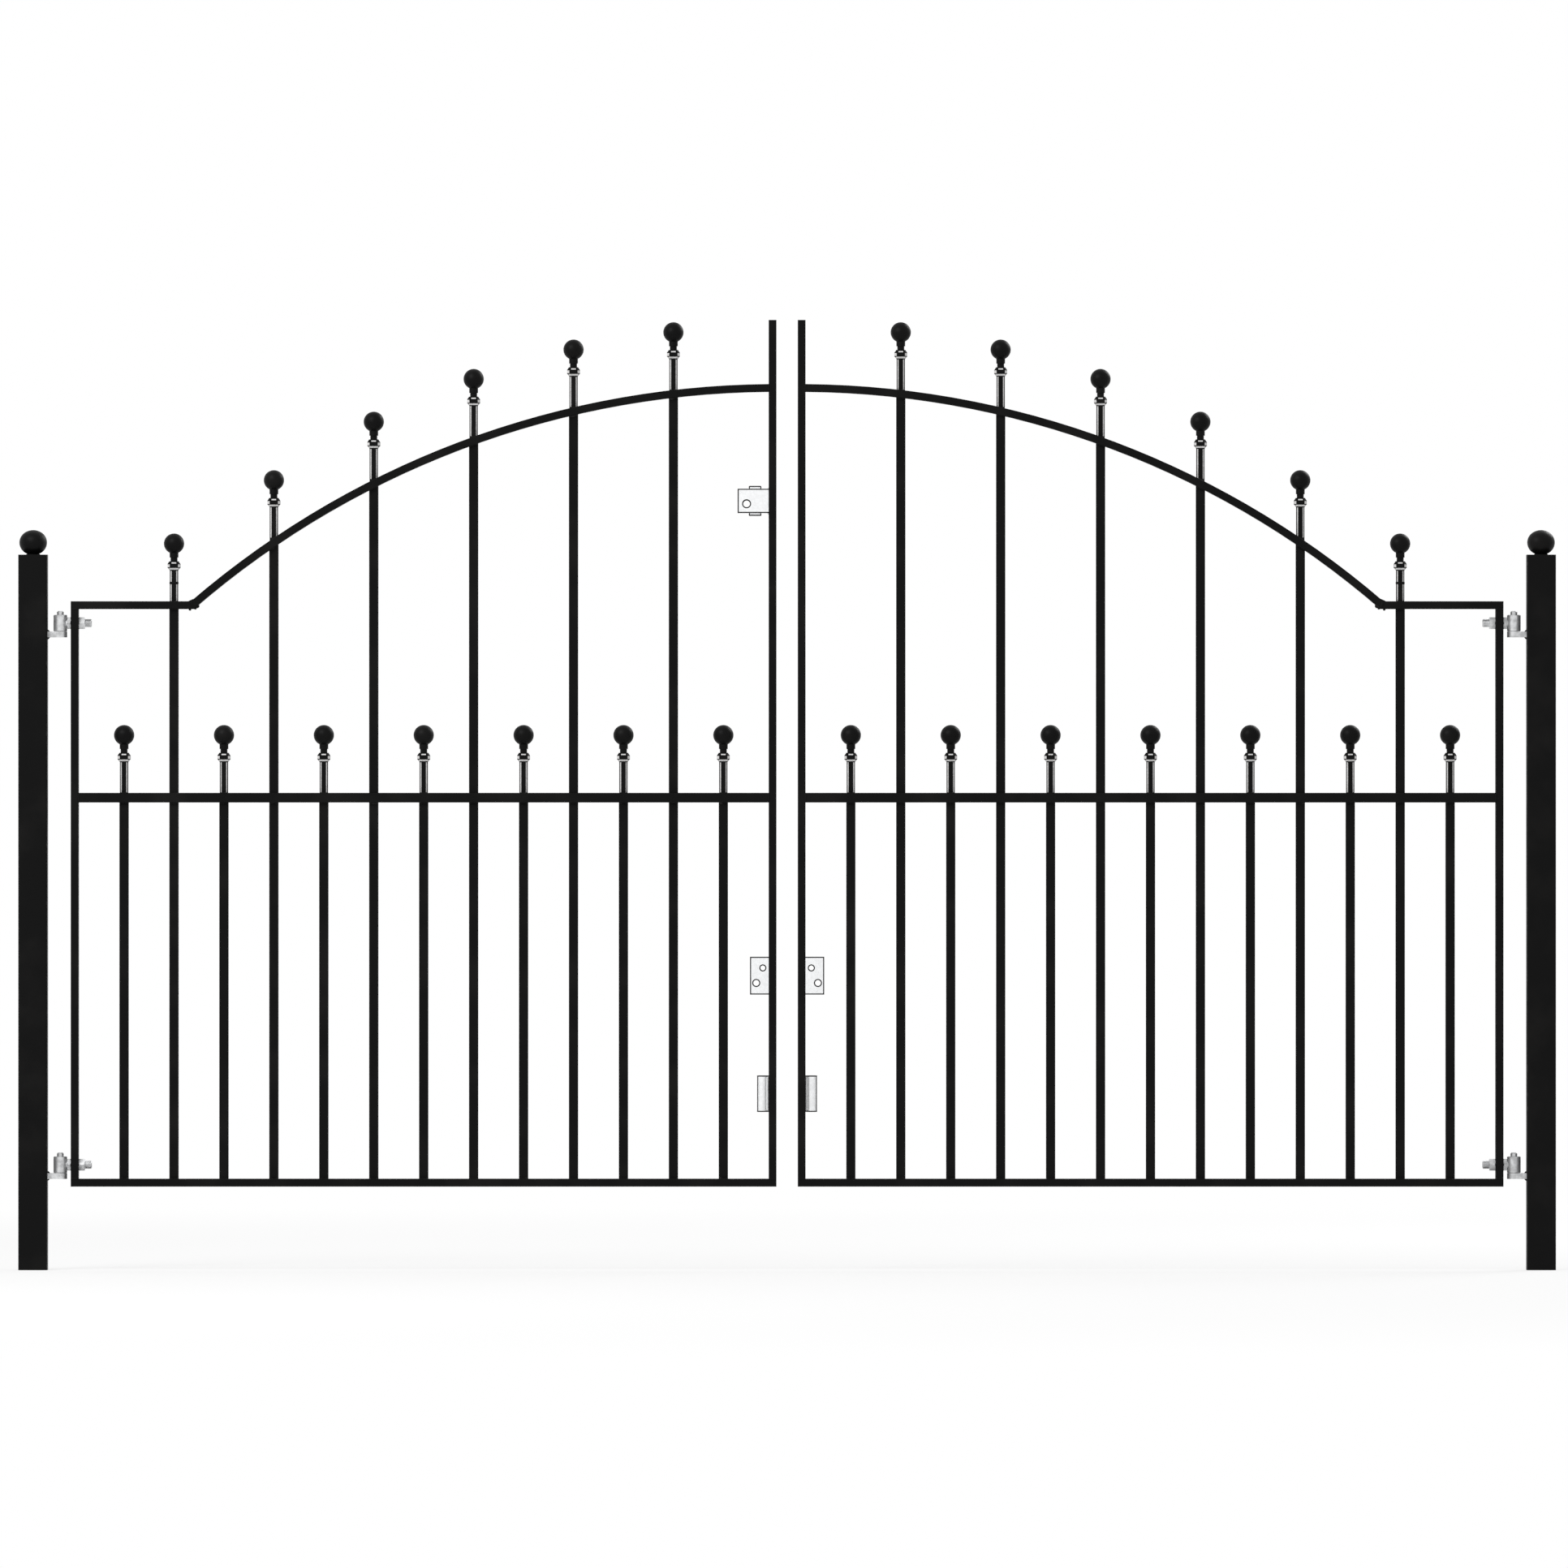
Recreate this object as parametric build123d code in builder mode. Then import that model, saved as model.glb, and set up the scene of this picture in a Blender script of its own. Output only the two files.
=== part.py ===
from build123d import *
import math
import os

# Arched double driveway gate between two square posts.
# Origin: centre of the left post's foot, at ground level.
# +X runs along the opening to the right post, +Y is the side the leaves open to, +Z is up.
# All sizes are in millimetres. "Leaf height" sizes are measured up from the leaf's underside.

# Opening, posts and their caps
opening = 3050.0
post_width = 60.0
post_wall = 3.0
post_corner_radius = 5.0
post_height = 1475.0
post_base_thickness = 6.0
post_cap_thickness = 4.0
post_ball_width = 57.0
post_ball_height = 51.0
post_ball_half_height = 25.8
post_ball_crown_radius = 31.5
post_ball_neck_diameter = 24.0

# Leaves
hinge_gap = 48.0
leaf_gap = 44.0
ground_clearance = 172.0
hanging_side_height = 1207.0
middle_rail_height = 802.0
crank_offset = 38.0
arch_crown_height = 1647.0
arch_radius = 1843.0
meeting_stile_overrun = 140.0

# Bar stock
frame_depth = 40.0
frame_thickness = 16.0
middle_rail_thickness = 20.0
edge_break = 1.0
bar_size = 19.0
bar_edge_radius = 1.6
bar_count = 13
punch_clearance = 0.2

# Cast finials, from the rail up: shank, collar, stepped neck, ball
shank_size = 17.2
shank_chamfer = 4.1
shank_length = 64.0
collar_size = 26.6
collar_chamfer = 4.6
collar_height = 18.6
collar_lower_bevel_height = 5.2
collar_lower_bevel_inset = 4.4
collar_upper_bevel_height = 5.8
collar_upper_bevel_inset = 3.8
lower_neck_diameter = 14.4
lower_neck_height = 7.7
upper_neck_diameter = 18.2
finial_ball_diameter = 42.0
finial_height = 140.0

# Adjustable hinges
upper_hinge_height = 1162.0
lower_hinge_height = 45.0
pin_offset = 26.0
pin_diameter = 14.0
pin_clearance = 0.1
pin_overshoot = 8.0
pin_tip_chamfer = 2.0
eye_diameter = 28.0
eye_height = 34.0
eye_edge_chamfer = 1.2
eye_seat_gap = 0.3
lug_thickness = 12.0
bolt_diameter = 16.0
bolt_hole_clearance = 0.5
bolt_overshoot = 27.0
bolt_end_chamfer = 1.5
nut_sides = 6
nut_across_flats = 24.0
nut_face_diameter = 22.8
nut_chamfer_angle = 30.0
thin_nut_thickness = 7.6
full_nut_thickness = 13.0
nut_bore_clearance = 0.1

# Drop bolt guides and the bores under them
guide_diameter = 24.0
guide_bore_diameter = 18.0
guide_height = 75.0
guide_bottom_height = 154.0
rail_bore_diameter = 18.4

# Latch plates
latch_plate_width = 38.5
latch_plate_height = 78.0
latch_plate_thickness = 6.0
latch_plate_bottom_height = 396.0
latch_upper_hole_diameter = 10.0
latch_upper_hole_inset = 12.0
latch_upper_hole_rise = 55.0
latch_lower_hole_diameter = 12.0
latch_lower_hole_inset = 25.6
latch_lower_hole_rise = 24.0

# Lock box, on the left leaf only, hung below the arch
lock_box_width = 64.0
lock_box_height = 50.0
lock_box_depth = 36.0
lock_box_wall = 3.0
lock_box_crown_drop = 208.0
lock_hole_diameter = 14.0
lock_hole_inset = 18.5
lock_hole_rise = 19.0
tab_width = 26.0
tab_height = 6.0
tab_depth = 20.0
tab_corner_radius = 2.0
tab_inset = 15.0

# Places that follow from the sizes
post_face = post_width / 2
right_post_centre = opening + post_width
gate_centre = right_post_centre / 2
hinge_edge = post_face + hinge_gap
leaf_width = (opening - leaf_gap) / 2 - hinge_gap
meeting_edge = hinge_edge + leaf_width
inner_start = hinge_edge + frame_thickness
inner_end = meeting_edge - frame_thickness
leaf_top = ground_clearance + arch_crown_height + meeting_stile_overrun
bottom_rail_top = ground_clearance + frame_thickness
shoulder_top = ground_clearance + hanging_side_height
shoulder_centre = shoulder_top - frame_thickness / 2
middle_rail_centre = ground_clearance + middle_rail_height
middle_rail_top = middle_rail_centre + middle_rail_thickness / 2
half_depth = frame_depth / 2

# Equal clear gaps between the bars and to both stiles
bar_pitch = (inner_end - inner_start + bar_size) / (bar_count + 1)
bar_centres = [inner_start - bar_size / 2 + bar_pitch * (n + 1) for n in range(bar_count)]
short_bar_centres = bar_centres[0::2]
long_bar_centres = bar_centres[1::2]
bar_hole_size = bar_size + 2 * punch_clearance

# The shoulder ends at the crank, a little past the first long bar. From there the arch's middle
# line runs to its crown where the leaves meet. Its centre is found from the chord between the two,
# and comes under the meeting edge, so that the arch is level there.
crank_x = long_bar_centres[0] + crank_offset
crown_z = ground_clearance + arch_crown_height
arch_run = meeting_edge - crank_x
arch_rise = crown_z - shoulder_centre
arch_chord = math.hypot(arch_run, arch_rise)
chord_depth = math.sqrt(arch_radius**2 - (arch_chord / 2) ** 2)
arch_centre_x = (crank_x + meeting_edge) / 2 + chord_depth * arch_rise / arch_chord
arch_centre_z = (shoulder_centre + crown_z) / 2 - chord_depth * arch_run / arch_chord
arch_outer_radius = arch_radius + frame_thickness / 2
arch_inner_radius = arch_radius - frame_thickness / 2
crank_angle = math.asin((arch_centre_x - crank_x) / arch_radius)
mitre_slope = math.tan(crank_angle / 2)
mitre_shift = frame_thickness / 2 * mitre_slope

# Hinges
pin_x = post_face + pin_offset
hinge_heights = [ground_clearance + lower_hinge_height, ground_clearance + upper_hinge_height]
lug_top_drop = eye_height / 2 + eye_seat_gap
bolt_end = inner_start + bolt_overshoot

gate_centre_plane = Plane.YZ.offset(gate_centre)


def rail_top_at(x):
    """Height of the top of the shoulder rail or of the arch rail, over a point along the opening."""
    if x < crank_x:
        return shoulder_top
    return arch_centre_z + math.sqrt(arch_outer_radius**2 - (arch_centre_x - x) ** 2)


def under_top_rails():
    """All that lies under the tops of the shoulder rail and the arch, in the plane of the leaf."""
    with Locations((hinge_edge, 0)):
        Rectangle(crank_x - hinge_edge, shoulder_top, align=(Align.MIN, Align.MIN))
    with Locations((arch_centre_x, arch_centre_z)):
        Circle(arch_outer_radius)


# Posts: square tube, closed by a base plate at the ground and a cap plate under the ball
def post_outline(size, radius):
    """Square with rounded corners, about the post's axis."""
    RectangleRounded(size, size, radius)


with BuildPart() as left_post:
    with BuildSketch(Plane.XY.offset(post_base_thickness)):
        post_outline(post_width, post_corner_radius)
        offset(amount=-post_wall, mode=Mode.SUBTRACT)
    extrude(amount=post_height - post_cap_thickness - post_base_thickness)

with BuildPart() as left_post_base:
    with BuildSketch(Plane.XY):
        post_outline(post_width, post_corner_radius)
    extrude(amount=post_base_thickness)

with BuildPart() as left_post_cap:
    with BuildSketch(Plane.XY.offset(post_height - post_cap_thickness)):
        post_outline(post_width, post_corner_radius)
    extrude(amount=post_cap_thickness)

# The ball is slightly flattened: a wide crown above and below runs into a tighter curve at the sides
crown_drop = post_ball_crown_radius - post_ball_half_height
side_radius = (post_ball_crown_radius**2 - crown_drop**2 - (post_ball_width / 2) ** 2) / (
    2 * post_ball_crown_radius - post_ball_width
)
side_centre = post_ball_width / 2 - side_radius
crown_edge_angle = math.degrees(math.atan2(crown_drop, side_centre))
ball_neck_angle = math.degrees(math.acos(post_ball_neck_diameter / 2 / post_ball_crown_radius))
ball_centre_z = post_height + post_ball_height - post_ball_half_height

with BuildPart() as left_post_ball:
    with BuildSketch(Plane.XZ):
        with BuildLine():
            underside = CenterArc(
                (0, ball_centre_z + crown_drop),
                post_ball_crown_radius,
                -ball_neck_angle,
                ball_neck_angle - crown_edge_angle,
            )
            CenterArc((side_centre, ball_centre_z), side_radius, -crown_edge_angle, 2 * crown_edge_angle)
            crown = CenterArc(
                (0, ball_centre_z - crown_drop),
                post_ball_crown_radius,
                crown_edge_angle,
                90 - crown_edge_angle,
            )
            Polyline(
                crown @ 1,
                (0, post_height),
                (post_ball_neck_diameter / 2, post_height),
                underside @ 0,
            )
        make_face()
    revolve(axis=Axis.Z)

# Hinge pins: a lug welded to the post's inner face carries an upright pin
with BuildPart() as left_hinge_pins:
    for height in hinge_heights:
        lug_top = height - lug_top_drop
        with BuildSketch(Plane.XY.offset(lug_top - lug_thickness)):
            with Locations((pin_x, 0)):
                Circle(eye_diameter / 2)
            with Locations((post_face, 0)):
                Rectangle(pin_offset, eye_diameter, align=(Align.MIN, Align.CENTER))
        extrude(amount=lug_thickness)
        with BuildSketch(Plane.XY.offset(lug_top)):
            with Locations((pin_x, 0)):
                Circle(pin_diameter / 2)
        extrude(amount=eye_seat_gap + eye_height + pin_overshoot)
    # Going up, every second rim of the pins is a tip
    pin_rims = left_hinge_pins.edges().filter_by(GeomType.CIRCLE).filter_by(
        lambda edge: edge.radius < pin_diameter / 2 + pin_clearance
    )
    pin_tips = pin_rims.sort_by(Axis.Z)[1::2]
    chamfer(pin_tips, pin_tip_chamfer)

# Eye bolts: threaded rod through the hanging stile, with a barrel eye turning on the pin
with BuildPart() as left_hinge_eye_bolts:
    for height in hinge_heights:
        with BuildSketch(Plane.XY.offset(height - eye_height / 2)):
            with Locations((pin_x, 0)):
                Circle(eye_diameter / 2)
        extrude(amount=eye_height)
        with BuildSketch(Plane.YZ.offset(pin_x)):
            with Locations((0, height)):
                Circle(bolt_diameter / 2)
        extrude(amount=bolt_end - pin_x)
        with BuildSketch(Plane.XY.offset(height - eye_height / 2)):
            with Locations((pin_x, 0)):
                Circle(pin_diameter / 2 + pin_clearance)
        extrude(amount=eye_height, mode=Mode.SUBTRACT)
    eye_rims = left_hinge_eye_bolts.edges().filter_by(GeomType.CIRCLE).filter_by(
        lambda edge: edge.radius > eye_diameter / 2 - eye_edge_chamfer
    )
    chamfer(eye_rims, eye_edge_chamfer)
    bolt_end_faces = left_hinge_eye_bolts.faces().filter_by(Axis.X).group_by(Axis.X)[-1]
    chamfer(bolt_end_faces.edges(), bolt_end_chamfer)

# Nuts clamp the stile from both sides: a thin one beside the eye and a full one inside.
# A cone turned on both ends of a nut takes the tips off its corners.
nut_corner_radius = nut_across_flats / 2 / math.cos(math.pi / nut_sides)
nut_face_radius = nut_face_diameter / 2
nut_corner_drop = (nut_corner_radius - nut_face_radius) * math.tan(math.radians(nut_chamfer_angle))


def hexagon_nut(thickness):
    """A nut lying on the XY plane, bored along Z."""
    with BuildPart() as nut:
        with BuildSketch():
            RegularPolygon(nut_across_flats / 2, nut_sides, major_radius=False)
        extrude(amount=thickness)
        with BuildSketch(Plane.XZ):
            with BuildLine():
                Polyline(
                    (0, 0),
                    (nut_face_radius, 0),
                    (nut_corner_radius, nut_corner_drop),
                    (nut_corner_radius, thickness - nut_corner_drop),
                    (nut_face_radius, thickness),
                    (0, thickness),
                    close=True,
                )
            make_face()
        revolve(axis=Axis.Z, mode=Mode.INTERSECT)
        with BuildSketch():
            Circle(bolt_diameter / 2 + nut_bore_clearance)
        extrude(amount=thickness, mode=Mode.SUBTRACT)
    return nut.part


thin_nut = hexagon_nut(thin_nut_thickness)
full_nut = hexagon_nut(full_nut_thickness)

with BuildPart() as left_hinge_nuts:
    for height in hinge_heights:
        for nut, start in ((thin_nut, hinge_edge - thin_nut_thickness), (full_nut, inner_start)):
            with Locations(Plane((start, 0, height), x_dir=(0, 1, 0), z_dir=(1, 0, 0))):
                add(nut)

# Frame of the leaf: the bottom rail runs the full width and the stiles stand on it
with BuildPart() as left_bottom_rail:
    with BuildSketch(Plane.XZ):
        with Locations((hinge_edge, ground_clearance)):
            Rectangle(leaf_width, frame_thickness, align=(Align.MIN, Align.MIN))
    extrude(amount=half_depth, both=True)
    chamfer(left_bottom_rail.edges().filter_by(Axis.X), edge_break)
    with BuildSketch(Plane.XY.offset(ground_clearance)):
        with Locations((inner_end - guide_diameter / 2, 0)):
            Circle(rail_bore_diameter / 2)
    extrude(amount=frame_thickness, mode=Mode.SUBTRACT)

with BuildPart() as left_hanging_stile:
    with BuildSketch(Plane.XY.offset(bottom_rail_top)):
        with Locations((hinge_edge, 0)):
            Rectangle(frame_thickness, frame_depth, align=(Align.MIN, Align.CENTER))
    extrude(amount=shoulder_top - frame_thickness - bottom_rail_top)
    chamfer(left_hanging_stile.edges().filter_by(Axis.Z), edge_break)
    with BuildSketch(Plane.YZ.offset(hinge_edge)):
        with Locations(*[(0, height) for height in hinge_heights]):
            Circle(bolt_diameter / 2 + bolt_hole_clearance)
    extrude(amount=frame_thickness, mode=Mode.SUBTRACT)

with BuildPart() as left_meeting_stile:
    with BuildSketch(Plane.XY.offset(bottom_rail_top)):
        with Locations((inner_end, 0)):
            Rectangle(frame_thickness, frame_depth, align=(Align.MIN, Align.CENTER))
    extrude(amount=leaf_top - bottom_rail_top)
    chamfer(left_meeting_stile.edges().filter_by(Axis.Z), edge_break)

# Middle rail: punched for every bar, butted between the stiles
with BuildPart() as left_middle_rail:
    with BuildSketch(Plane.YZ.offset(inner_start)):
        with Locations((0, middle_rail_centre)):
            Rectangle(frame_depth, middle_rail_thickness)
    extrude(amount=inner_end - inner_start)
    chamfer(left_middle_rail.edges().filter_by(Axis.X), edge_break)
    with BuildSketch(Plane.XY.offset(middle_rail_top)):
        with Locations(*[(x, 0) for x in bar_centres]):
            Rectangle(bar_hole_size, bar_hole_size)
    extrude(amount=-middle_rail_thickness, mode=Mode.SUBTRACT)

# Shoulder rail: lies on the hanging stile and is mitred to the arch at the crank
with BuildPart() as left_shoulder_rail:
    with BuildSketch(Plane.XZ):
        with BuildLine():
            Polyline(
                (hinge_edge, shoulder_top - frame_thickness),
                (crank_x + mitre_shift, shoulder_top - frame_thickness),
                (crank_x - mitre_shift, shoulder_top),
                (hinge_edge, shoulder_top),
                close=True,
            )
        make_face()
    extrude(amount=half_depth, both=True)
    chamfer(left_shoulder_rail.edges().filter_by(Axis.X), edge_break)
    with BuildSketch(Plane.XY.offset(shoulder_top)):
        with Locations(*[(x, 0) for x in long_bar_centres]):
            Rectangle(bar_hole_size, bar_hole_size)
    extrude(amount=-frame_thickness, mode=Mode.SUBTRACT)

# Arch rail: flat bar rolled the hard way, from the mitre at the crank to the meeting stile
mitre_reach = 3 * frame_thickness
with BuildPart() as left_arch_rail:
    with BuildSketch(Plane.XZ):
        with Locations((arch_centre_x, arch_centre_z)):
            Circle(arch_outer_radius)
            Circle(arch_inner_radius, mode=Mode.SUBTRACT)
        with BuildLine():
            Polyline(
                (crank_x + mitre_reach * mitre_slope, shoulder_centre - mitre_reach),
                (inner_end, shoulder_centre - mitre_reach),
                (inner_end, arch_centre_z + arch_outer_radius + mitre_reach),
                (crank_x - mitre_reach * mitre_slope, arch_centre_z + arch_outer_radius + mitre_reach),
                (crank_x - mitre_reach * mitre_slope, shoulder_centre + mitre_reach),
                close=True,
            )
        make_face(mode=Mode.INTERSECT)
    extrude(amount=half_depth, both=True)
    chamfer(
        left_arch_rail.edges().filter_by(
            lambda edge: edge.geom_type == GeomType.CIRCLE
            and edge.radius > arch_inner_radius - edge_break
        ),
        edge_break,
    )
    with BuildSketch(Plane.XY.offset(shoulder_centre)):
        with Locations(*[(x, 0) for x in long_bar_centres]):
            Rectangle(bar_hole_size, bar_hole_size)
    extrude(amount=arch_centre_z + arch_outer_radius - shoulder_centre, mode=Mode.SUBTRACT)

# Bars: square, standing on the bottom rail and ending flush with the top of the rail that holds them
with BuildPart() as left_short_bars:
    with BuildSketch(Plane.XY.offset(bottom_rail_top)):
        with Locations(*[(x, 0) for x in short_bar_centres]):
            Rectangle(bar_size, bar_size)
    extrude(amount=middle_rail_top - bottom_rail_top)
    fillet(left_short_bars.edges().filter_by(Axis.Z), bar_edge_radius)

bar_spare = 2 * bar_size
with BuildPart() as left_long_bars:
    with BuildSketch(Plane.XZ):
        under_top_rails()
    extrude(amount=bar_size / 2, both=True)
    with BuildSketch(Plane.XY.offset(bottom_rail_top)):
        with Locations(*[(x, 0) for x in long_bar_centres]):
            Rectangle(bar_size, bar_size)
    extrude(amount=leaf_top + bar_spare - bottom_rail_top, mode=Mode.INTERSECT)
    fillet(left_long_bars.edges().filter_by(Axis.Z), bar_edge_radius)

# Finials: a chamfered square shank, a faceted collar, a stepped round neck and a ball, cast in one.
# The shank goes down past its seat by this much, and is then cut to the rail it stands on.
shank_root = 2 * shank_size
collar_top = shank_length + collar_height
ball_centre = finial_height - finial_ball_diameter / 2

with BuildPart() as collar:
    with BuildSketch(Plane.XY.offset(shank_length)) as collar_outline:
        Rectangle(collar_size, collar_size)
        chamfer(collar_outline.vertices(), collar_chamfer)
    extrude(amount=collar_height)
    collar_ends = collar.faces().sort_by(Axis.Z)
    chamfer(
        collar_ends[0].edges(),
        collar_lower_bevel_inset,
        collar_lower_bevel_height,
        reference=collar_ends[0],
    )
    collar_ends = collar.faces().sort_by(Axis.Z)
    chamfer(
        collar_ends[-1].edges(),
        collar_upper_bevel_inset,
        collar_upper_bevel_height,
        reference=collar_ends[-1],
    )

with BuildPart() as finial:
    with BuildSketch(Plane.XY.offset(-shank_root)) as shank_outline:
        Rectangle(shank_size, shank_size)
        chamfer(shank_outline.vertices(), shank_chamfer)
    extrude(amount=shank_root + shank_length)
    add(collar.part)
    with BuildSketch(Plane.XZ):
        with Locations((0, collar_top)):
            Rectangle(lower_neck_diameter / 2, lower_neck_height, align=(Align.MIN, Align.MIN))
        with Locations((0, collar_top + lower_neck_height)):
            Rectangle(
                upper_neck_diameter / 2,
                ball_centre - collar_top - lower_neck_height,
                align=(Align.MIN, Align.MIN),
            )
        with Locations((0, ball_centre)):
            Circle(finial_ball_diameter / 2)
        with Locations((0, collar_top)):
            Rectangle(
                finial_ball_diameter,
                finial_height,
                align=(Align.MIN, Align.MIN),
                mode=Mode.INTERSECT,
            )
    revolve(axis=Axis.Z)

with BuildPart() as left_short_bar_finials:
    with Locations(*[(x, 0, middle_rail_top) for x in short_bar_centres]):
        add(finial.part)
    with BuildSketch(Plane.XY.offset(middle_rail_top)):
        with Locations((hinge_edge, 0)):
            Rectangle(leaf_width, frame_depth, align=(Align.MIN, Align.CENTER))
    extrude(amount=-shank_root, mode=Mode.SUBTRACT)

with BuildPart() as left_long_bar_finials:
    with Locations(*[(x, 0, rail_top_at(x)) for x in long_bar_centres]):
        add(finial.part)
    with BuildSketch(Plane.XZ):
        under_top_rails()
    extrude(amount=half_depth, both=True, mode=Mode.SUBTRACT)

# Drop bolt guide: a tube welded upright to the meeting stile, in line with the bore in the rail
with BuildPart() as left_drop_bolt_guide:
    with BuildSketch(Plane.XY.offset(ground_clearance + guide_bottom_height)):
        with Locations((inner_end - guide_diameter / 2, 0)):
            Circle(guide_diameter / 2)
            Circle(guide_bore_diameter / 2, mode=Mode.SUBTRACT)
    extrude(amount=guide_height)

# Latch plate: welded to the meeting stile, flush with the outer side of the leaf
latch_plate_bottom = ground_clearance + latch_plate_bottom_height
with BuildPart() as left_latch_plate:
    with BuildSketch(Plane.XZ.offset(half_depth - latch_plate_thickness)):
        with Locations((inner_end, latch_plate_bottom)):
            Rectangle(latch_plate_width, latch_plate_height, align=(Align.MAX, Align.MIN))
        with Locations((inner_end - latch_upper_hole_inset, latch_plate_bottom + latch_upper_hole_rise)):
            Circle(latch_upper_hole_diameter / 2, mode=Mode.SUBTRACT)
        with Locations((inner_end - latch_lower_hole_inset, latch_plate_bottom + latch_lower_hole_rise)):
            Circle(latch_lower_hole_diameter / 2, mode=Mode.SUBTRACT)
    extrude(amount=latch_plate_thickness)

# Lock box: a welded steel case, open only towards the stile that closes it
lock_box_bottom = crown_z - lock_box_crown_drop - lock_box_height
with BuildPart() as lock_box:
    with BuildSketch(Plane.XZ):
        with Locations((inner_end, lock_box_bottom)):
            Rectangle(lock_box_width, lock_box_height, align=(Align.MAX, Align.MIN))
    extrude(amount=lock_box_depth / 2, both=True)
    with BuildSketch(Plane.XZ):
        with Locations((inner_end, lock_box_bottom + lock_box_wall)):
            Rectangle(
                lock_box_width - lock_box_wall,
                lock_box_height - 2 * lock_box_wall,
                align=(Align.MAX, Align.MIN),
            )
    extrude(amount=lock_box_depth / 2 - lock_box_wall, both=True, mode=Mode.SUBTRACT)
    with BuildSketch(Plane.XZ):
        with Locations((inner_end - lock_box_width + lock_hole_inset, lock_box_bottom + lock_hole_rise)):
            Circle(lock_hole_diameter / 2)
    extrude(amount=lock_box_depth / 2, both=True, mode=Mode.SUBTRACT)

# Tabs above and under the lock box
with BuildPart() as lock_box_tabs:
    with BuildSketch(Plane.XZ):
        for tab_bottom in (lock_box_bottom - tab_height, lock_box_bottom + lock_box_height):
            with Locations((inner_end - tab_inset, tab_bottom)):
                RectangleRounded(tab_width, tab_height, tab_corner_radius, align=(Align.MAX, Align.MIN))
    extrude(amount=tab_depth / 2, both=True)

left_pieces = {
    "left_post": left_post,
    "left_post_base": left_post_base,
    "left_post_cap": left_post_cap,
    "left_post_ball": left_post_ball,
    "left_hinge_pins": left_hinge_pins,
    "left_hinge_eye_bolts": left_hinge_eye_bolts,
    "left_hinge_nuts": left_hinge_nuts,
    "left_bottom_rail": left_bottom_rail,
    "left_hanging_stile": left_hanging_stile,
    "left_meeting_stile": left_meeting_stile,
    "left_middle_rail": left_middle_rail,
    "left_shoulder_rail": left_shoulder_rail,
    "left_arch_rail": left_arch_rail,
    "left_short_bars": left_short_bars,
    "left_long_bars": left_long_bars,
    "left_short_bar_finials": left_short_bar_finials,
    "left_long_bar_finials": left_long_bar_finials,
    "left_drop_bolt_guide": left_drop_bolt_guide,
    "left_latch_plate": left_latch_plate,
}
single_pieces = {
    "lock_box": lock_box,
    "lock_box_tabs": lock_box_tabs,
}

os.makedirs("parts", exist_ok=True)
for name, piece in {**left_pieces, **single_pieces}.items():
    piece.part.label = name
    export_step(piece.part, f"parts/{name}.step")

# The right post and leaf mirror the left ones about the middle of the opening
for left_name, piece in left_pieces.items():
    name = left_name.replace("left_", "right_", 1)
    with BuildPart() as twin:
        mirror(piece.part, about=gate_centre_plane)
    twin.part.label = name
    export_step(twin.part, f"parts/{name}.step")
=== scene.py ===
import bpy
import bmesh
import math
import random
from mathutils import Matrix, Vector


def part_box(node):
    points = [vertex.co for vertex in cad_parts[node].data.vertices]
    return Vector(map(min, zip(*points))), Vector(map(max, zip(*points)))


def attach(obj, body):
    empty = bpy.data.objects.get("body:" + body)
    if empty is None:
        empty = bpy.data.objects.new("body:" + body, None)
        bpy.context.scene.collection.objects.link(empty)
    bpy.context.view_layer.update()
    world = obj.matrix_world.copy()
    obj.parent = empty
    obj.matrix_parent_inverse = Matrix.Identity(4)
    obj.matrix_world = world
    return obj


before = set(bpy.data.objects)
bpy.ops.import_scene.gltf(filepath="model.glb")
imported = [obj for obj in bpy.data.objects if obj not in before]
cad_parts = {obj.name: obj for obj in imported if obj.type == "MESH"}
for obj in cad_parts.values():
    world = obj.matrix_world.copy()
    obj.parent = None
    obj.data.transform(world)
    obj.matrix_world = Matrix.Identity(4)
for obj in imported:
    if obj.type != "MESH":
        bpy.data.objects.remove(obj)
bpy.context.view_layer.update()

# The camera looks square on at the gate from far off, as an elevation drawing shows it.
# The drawing's frame is 1932 pixels wide, and one of its pixels is 1.674 mm on the gate.
drawing_pixels = 1932
pixel = 0.001674
left_post_pixel = 40.9
ground_pixel = 1564.7
view_distance = 45.0
sensor_width = 36.0

camera_data = bpy.data.cameras.new("elevation_camera")
camera_data.sensor_width = sensor_width
camera_data.lens = sensor_width * view_distance / (drawing_pixels * pixel)
camera_data.clip_end = 200.0
camera = bpy.data.objects.new("elevation_camera", camera_data)
bpy.context.scene.collection.objects.link(camera)
camera.location = (
    (drawing_pixels / 2 - left_post_pixel) * pixel,
    -view_distance,
    (ground_pixel - drawing_pixels / 2) * pixel,
)
camera.rotation_euler = (math.radians(90), 0, 0)
bpy.context.scene.camera = camera
bpy.context.scene.view_settings.view_transform = "Standard"

# Gate posts: 60 mm square steel tube with end plates welded flush, under satin black paint.
# The paint has a fine orange peel over slow waves, and is rubbed thin along the corners.


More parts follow.
